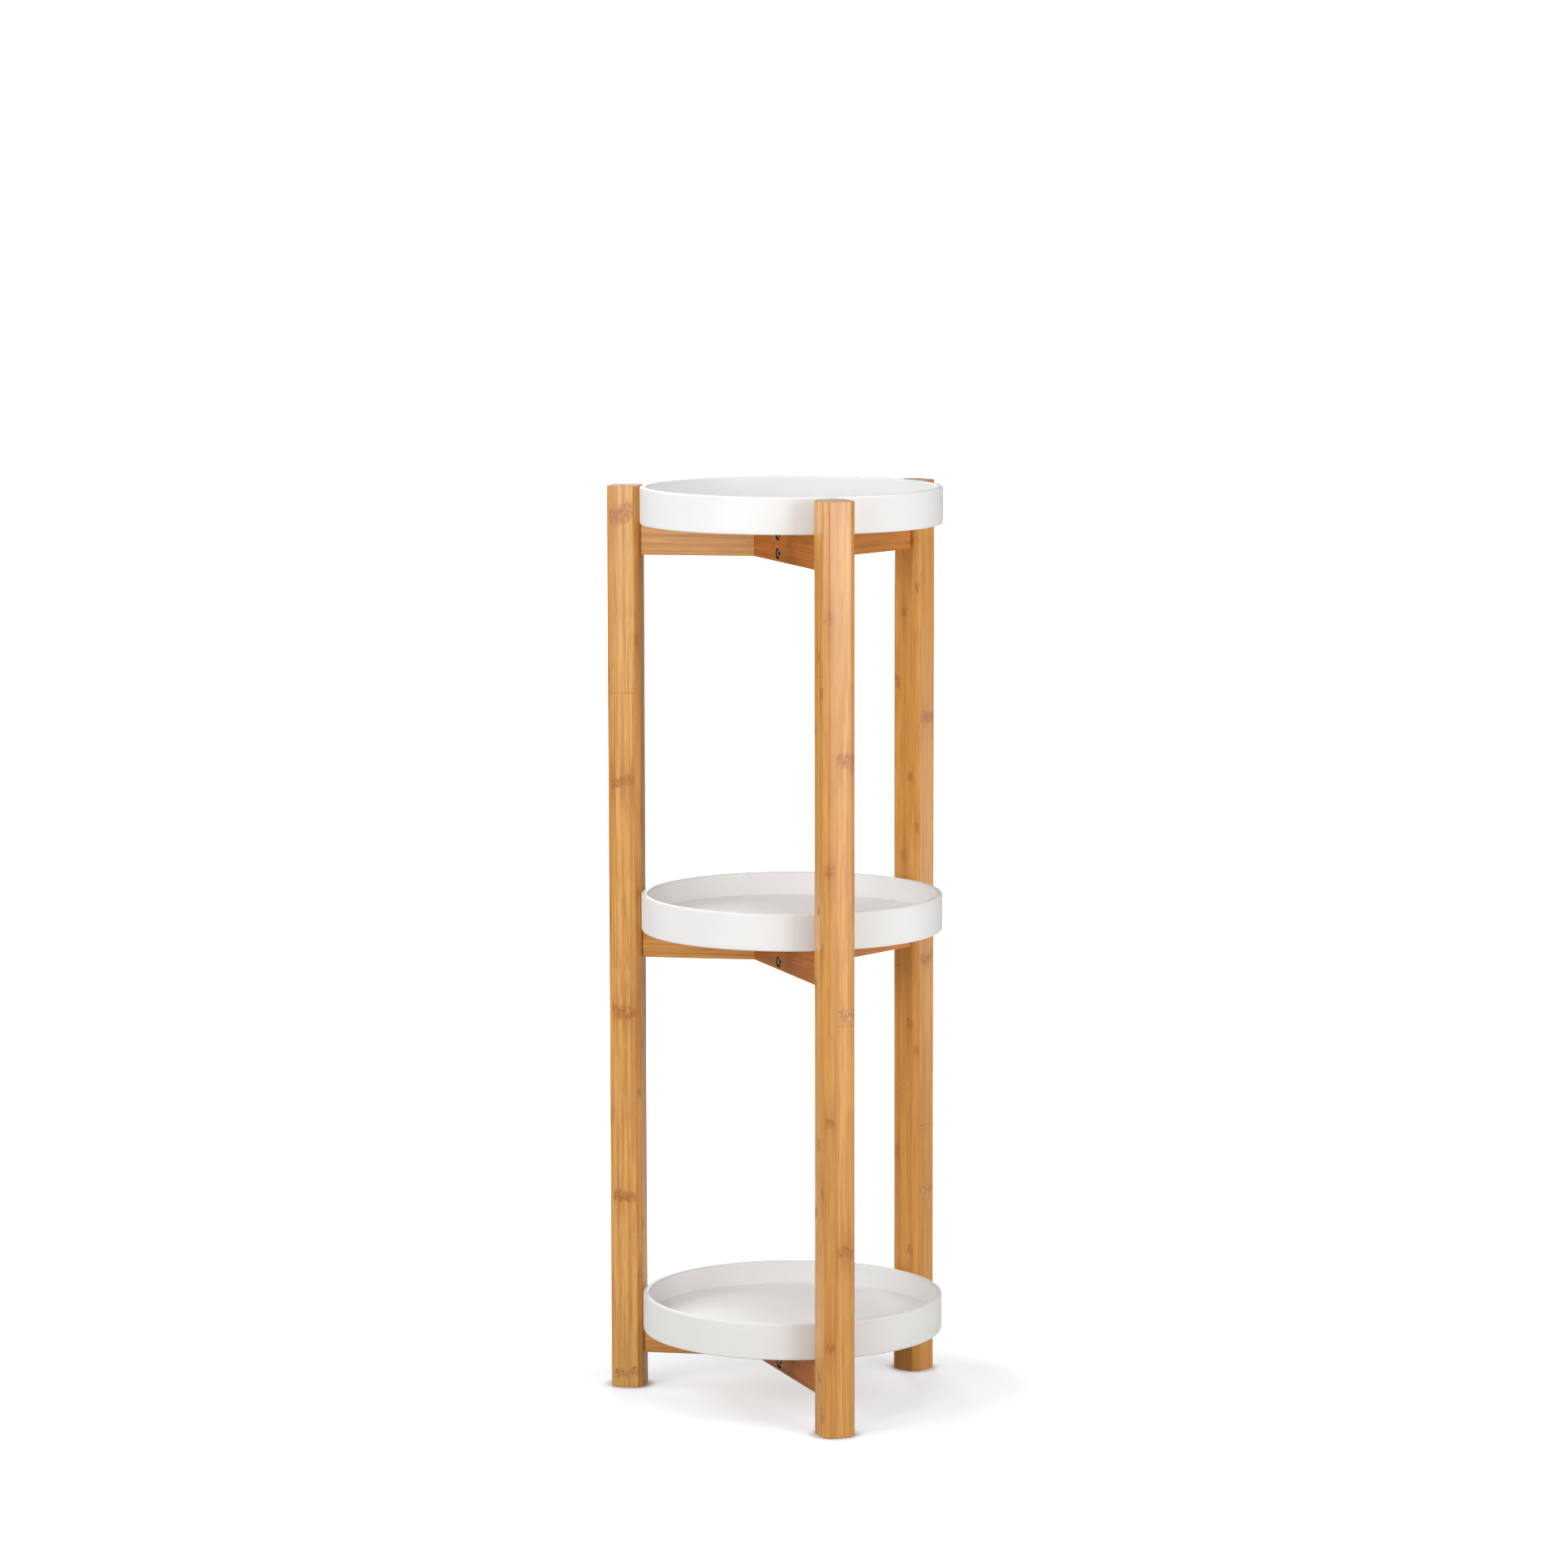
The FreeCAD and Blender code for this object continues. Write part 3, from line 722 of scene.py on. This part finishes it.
def makeLegMesh():
    bm = bmesh.new()
    bmesh.ops.create_cube(bm, size=1, matrix=Matrix.LocRotScale(legMiddle, None, legHigh - legLow))
    uprights = [edge for edge in bm.edges if abs(edge.verts[0].co.z - edge.verts[1].co.z) > leg["chamfer"]]
    softenEdges(bm, uprights, leg["chamfer"], 1)
    softenEdges(bm, bm.edges[:], leg["round"], leg["roundSteps"])
    blank = meshFrom(bm, "legBlank")
    cutter = bmesh.new()
    for tier in tiers:
        rise = liftToTier(tier).translation.z
        for height in dowelHeights:
            rodAlongY(
                cutter, dowel["radius"] + dowel["fit"], barMiddle.x, height + rise,
                legHigh.y - dowel["depth"] - dowel["room"], legHigh.y + bar["overrun"],
            )
    return drilled(blank, meshFrom(cutter, "legDrill"))


def makeLeg(comb):
    name = f"leg{comb.title()}"
    mesh = legMesh.copy()
    mesh.name = name
    # the sawn ends get the third of the leg's material places
    for face in mesh.polygons:
        if abs(face.normal.z) > leg["endFacing"] and face.material_index == 0:
            face.material_index = 2
    mesh.transform(turnedToComb(comb))
    quarter = Matrix.Rotation(pi / 2 if legBoards[comb]["quarterTurn"] else 0, 4, "Z")
    markGrain(mesh, quarter @ Matrix.Translation(-legMiddle) @ turnedToComb(comb).inverted())
    addPiece(name, mesh, "frame", "bamboo", f"leg_{comb}", legBamboo[comb], boreWood, endGrain)


legMesh = makeLegMesh()
for comb in combTurns:
    makeLeg(comb)
print("legs made:", len(combTurns))


# trays: a hoop with an inner lip, and a base panel that lies on the lip
hoop = {
    "wall": 0.006, "lipWidth": 0.003, "lipHeight": 0.003, "round": 0.0016, "roundSteps": 4, "steps": 192,
}
base = {"round": 0.0005, "roundSteps": 2, "steps": 192}


def makeHoopMesh():
    low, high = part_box("tray_bottom_hoop")
    outside = (high.x - low.x) / 2
    inside = outside - hoop["wall"]
    lip = inside - hoop["lipWidth"]
    ledge = low.z + hoop["lipHeight"]
    section = [
        (lip, low.z), (outside, low.z), (outside, high.z), (inside, high.z), (inside, ledge), (lip, ledge),
    ]
    bm = bmesh.new()
    corners = [bm.verts.new((standAxis.x + out, standAxis.y, up)) for out, up in section]
    sides = [bm.edges.new((corner, corners[index - 1])) for index, corner in enumerate(corners)]
    bmesh.ops.spin(
        bm, geom=corners + sides, cent=standAxis, axis=(0, 0, 1), angle=2 * pi,
        steps=hoop["steps"], use_merge=True,
    )
    bmesh.ops.remove_doubles(bm, verts=bm.verts[:], dist=weldGap)
    bmesh.ops.recalc_face_normals(bm, faces=bm.faces[:])

    def isRounded(edge):
        first, second = (vertex.co for vertex in edge.verts)
        level = abs(first.z - second.z) < weldGap
        reach = (first - standAxis).xy.length
        around = abs(reach - (second - standAxis).xy.length) < weldGap
        return level and around and (first.z > ledge + weldGap or reach > inside + weldGap)

    softenEdges(bm, [edge for edge in bm.edges if isRounded(edge)], hoop["round"], hoop["roundSteps"])
    return meshFrom(bm, "hoop")


def makeBaseMesh():
    low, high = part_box("tray_bottom_base")
    bm = bmesh.new()
    middle = Vector((standAxis.x, standAxis.y, (low.z + high.z) / 2))
    radius = (high.x - low.x) / 2
    bmesh.ops.create_cone(
        bm, cap_ends=True, segments=base["steps"], radius1=radius, radius2=radius,
        depth=high.z - low.z, matrix=Matrix.Translation(middle),
    )
    rims = [edge for edge in bm.edges if abs(edge.verts[0].co.z - edge.verts[1].co.z) < weldGap]
    softenEdges(bm, rims, base["round"], base["roundSteps"])
    return meshFrom(bm, "base")


hoopMesh = makeHoopMesh()
baseMesh = makeBaseMesh()
for tier in tiers:
    for part, source in (("hoop", hoopMesh), ("base", baseMesh)):
        mesh = source.copy()
        mesh.name = f"{part}{tier.title()}"
        mesh.transform(liftToTier(tier))
        addPiece(mesh.name, mesh, f"tray_{tier}", "tray_paint", f"tray_{tier}_{part}", trayPaint)
print("trays made:", len(tiers))


# inserts and dowels stay as they are in the frame, out of sight in the wood
for tier in tiers:
    for node, material in ((f"inserts_{tier}", insertZinc), (f"dowels_{tier}", dowelBeech)):
        mesh = frame["nodes"][node].data
        mesh.materials.clear()
        mesh.materials.append(material)


# floor, light and camera
floor = {
    "size": 40.0, "colour": (0.775, 0.815, 0.845, 1), "dust": (0.765, 0.805, 0.835, 1),
    "dustScale": 3, "dustSpan": (0.3, 0.7), "rough": 0.7, "specular": 0.1,
    # what other rays meet: light given near and far, and what is mirrored
    "bounce": (0.52, 0.49, 0.46, 1), "glow": 0.12, "farGlow": 0.34, "glowReach": (0.5, 2.4), "mirrored": 0.04,
    # what the camera sees: a painted shadow under the stand and its edge, then white; reaches are from the
    # stand's axis
    "shadeGlow": 0.43, "edgeGlow": 0.36, "shadeReach": (0.10, 0.17),
    "nearSeen": 0.36, "nearReach": (0.19, 0.31), "farSeen": 0.45, "farReach": (0.3, 1.2),
    # foot, footShade and footReach: a painted contact shadow round each foot
    "foot": (0.58, 0.58, 0.58, 1), "footShade": 0.75, "footReach": (0.012, 0.029),
}
view = {
    "distance": 4.7713, "height": 1.1453, "turn": radians(20.516),
    "heading": radians(20.435), "pitch": radians(7.203), "roll": radians(-0.092),
    "focalPixels": 6818.9, "framePixels": 1932, "sensor": 36.0,
}
lamps = {
    # turn is to the right of the camera as seen from the stand, reach is along the floor, in metres
    "leftLow": {"turn": -42, "reach": 2.0, "height": 0.80, "width": 0.46, "tall": 0.46, "power": 6.0},
    "leftHigh": {"turn": -50, "reach": 2.0, "height": 1.6, "width": 0.9, "tall": 1.4, "power": 11.2},
    "leftSide": {"turn": -95, "reach": 2.0, "height": 1.45, "width": 0.9, "tall": 1.2, "power": 9.4},
    "rightLow": {"turn": 42, "reach": 2.0, "height": 0.80, "width": 0.46, "tall": 0.46, "power": 7.2},
    "rightFill": {"turn": 42, "reach": 2.0, "height": 0.32, "width": 0.46, "tall": 0.5, "power": 2.5},
    "rightHigh": {"turn": 60, "reach": 2.0, "height": 1.6, "width": 0.9, "tall": 1.4, "power": 12.0},
    "rightSide": {"turn": 95, "reach": 2.0, "height": 0.24, "width": 0.8, "tall": 0.36, "power": 2.6},
    "front": {"turn": -24, "reach": 2.4, "height": 0.84, "width": 0.45, "tall": 0.5, "power": 5.4},
    "top": {"turn": 0, "reach": 0.4, "height": 2.6, "width": 1.6, "tall": 1.6, "power": 19},
    "back": {"turn": 190, "reach": 2.2, "height": 1.2, "width": 0.6, "tall": 1.4, "power": 11},
}
lampAim = 0.45
sky = {"light": 0.23, "mirrored": 0.05, "backdrop": 1.05}


def makeFloor():
    bm = bmesh.new()
    bmesh.ops.create_grid(bm, x_segments=4, y_segments=4, size=floor["size"])
    bmesh.ops.translate(bm, vec=(0, 0, cadBox[0].z), verts=bm.verts[:])
    mesh = meshFrom(bm, "floor")
    material, tree, shader = newMaterial(
        "paleFloor", Roughness=floor["rough"], Specular_IOR_Level=floor["specular"], Emission_Strength=1.0
    )
    place = addNode(tree, "TexCoord").outputs["Object"]
    cloud = fade(tree, noise(tree, place, floor["dustScale"], 2), *floor["dustSpan"])
    path = addNode(tree, "LightPath").outputs
    # painted contact shadow round each foot: clear is 0 at a foot and 1 away from the feet
    clear = 1.0
    for comb in combTurns:
        foot = turnedToComb(comb) @ Vector((*legMiddle.xy, cadBox[0].z))
        near = addNode(tree, "VectorMath", {0: place, 1: foot}, operation="DISTANCE").outputs["Value"]
        clear = calc(tree, "MULTIPLY", fade(tree, near, *floor["footReach"]), clear)
    colour = blend(tree, cloud, floor["colour"], floor["dust"])
    colour = blend(tree, clear, floor["foot"], colour)
    colour = blend(tree, path["Is Camera Ray"], floor["bounce"], colour)
    tree.links.new(colour, shader.inputs["Base Color"])
    # a glowing sweep: its own glow shows it white away from the stand, with a painted shadow under the stand
    # and painted contact shadows round the feet, and it gives less light than it shows
    away = addNode(tree, "VectorMath", {0: place, 1: standAxis}, operation="DISTANCE").outputs["Value"]
    given = fade(tree, away, *floor["glowReach"], floor["glow"], floor["farGlow"])
    # painted shadow under the stand: the glow the camera sees drops within shadeReach of the stand's axis
    shown = fade(tree, away, *floor["shadeReach"], floor["shadeGlow"], floor["edgeGlow"])
    shown = calc(tree, "ADD", shown, fade(tree, away, *floor["nearReach"], 0.0, floor["nearSeen"]))
    shown = calc(tree, "ADD", shown, fade(tree, away, *floor["farReach"], 0.0, floor["farSeen"]))
    # painted contact shadow: less glow is shown near each foot
    shown = calc(tree, "MULTIPLY", shown, fade(tree, clear, 0.0, 1.0, 1 - floor["footShade"], 1.0))
    given = fade(tree, path["Is Glossy Ray"], 0.0, 1.0, given, floor["mirrored"])
    glow = fade(tree, path["Is Camera Ray"], 0.0, 1.0, given, shown)
    tree.links.new(glow, shader.inputs["Emission Color"])
    mesh.materials.append(material)
    ground = bpy.data.objects.new("floor", mesh)
    bpy.context.scene.collection.objects.link(ground)


def fromCamera(turn, reach, height):
    return standAxis + Matrix.Rotation(turn - view["turn"], 3, "Z") @ Vector((0, -reach, height))


def makeLamp(name, lamp):
    data = bpy.data.lights.new(name, "AREA")
    data.shape = "RECTANGLE"
    data.size = lamp["width"]
    data.size_y = lamp["tall"]
    data.energy = lamp["power"]
    light = bpy.data.objects.new(name, data)
    bpy.context.scene.collection.objects.link(light)
    light.location = fromCamera(radians(lamp["turn"]), lamp["reach"], lamp["height"])
    aim = standAxis + Vector((0, 0, lampAim)) - light.location
    light.rotation_euler = aim.to_track_quat("-Z", "Y").to_euler()
    light.visible_camera = False


def makeSky():
    world = bpy.data.worlds.new("studio")
    bpy.context.scene.world = world
    world.use_nodes = True
    tree = world.node_tree
    path = addNode(tree, "LightPath").outputs
    strength = fade(tree, path["Is Glossy Ray"], 0.0, 1.0, sky["light"], sky["mirrored"])
    strength = fade(tree, path["Is Camera Ray"], 0.0, 1.0, strength, sky["backdrop"])
    tree.links.new(strength, tree.nodes["Background"].inputs["Strength"])
    tree.nodes["Background"].inputs["Color"].default_value = (1, 1, 1, 1)


def makeCamera():
    data = bpy.data.cameras.new("photoCamera")
    data.sensor_width = view["sensor"]
    data.lens = view["sensor"] * view["focalPixels"] / view["framePixels"]
    camera = bpy.data.objects.new("photoCamera", data)
    bpy.context.scene.collection.objects.link(camera)
    aim = Matrix.Rotation(-view["heading"], 4, "Z") @ Matrix.Rotation(pi / 2 - view["pitch"], 4, "X")
    stand = fromCamera(0, view["distance"], view["height"])
    camera.matrix_world = Matrix.Translation(stand) @ aim @ Matrix.Rotation(view["roll"], 4, "Z")
    bpy.context.scene.camera = camera


makeFloor()
for name, lamp in lamps.items():
    makeLamp(name, lamp)
makeSky()
makeCamera()
bpy.context.scene.view_settings.view_transform = "Standard"
print("floor, light and camera set")
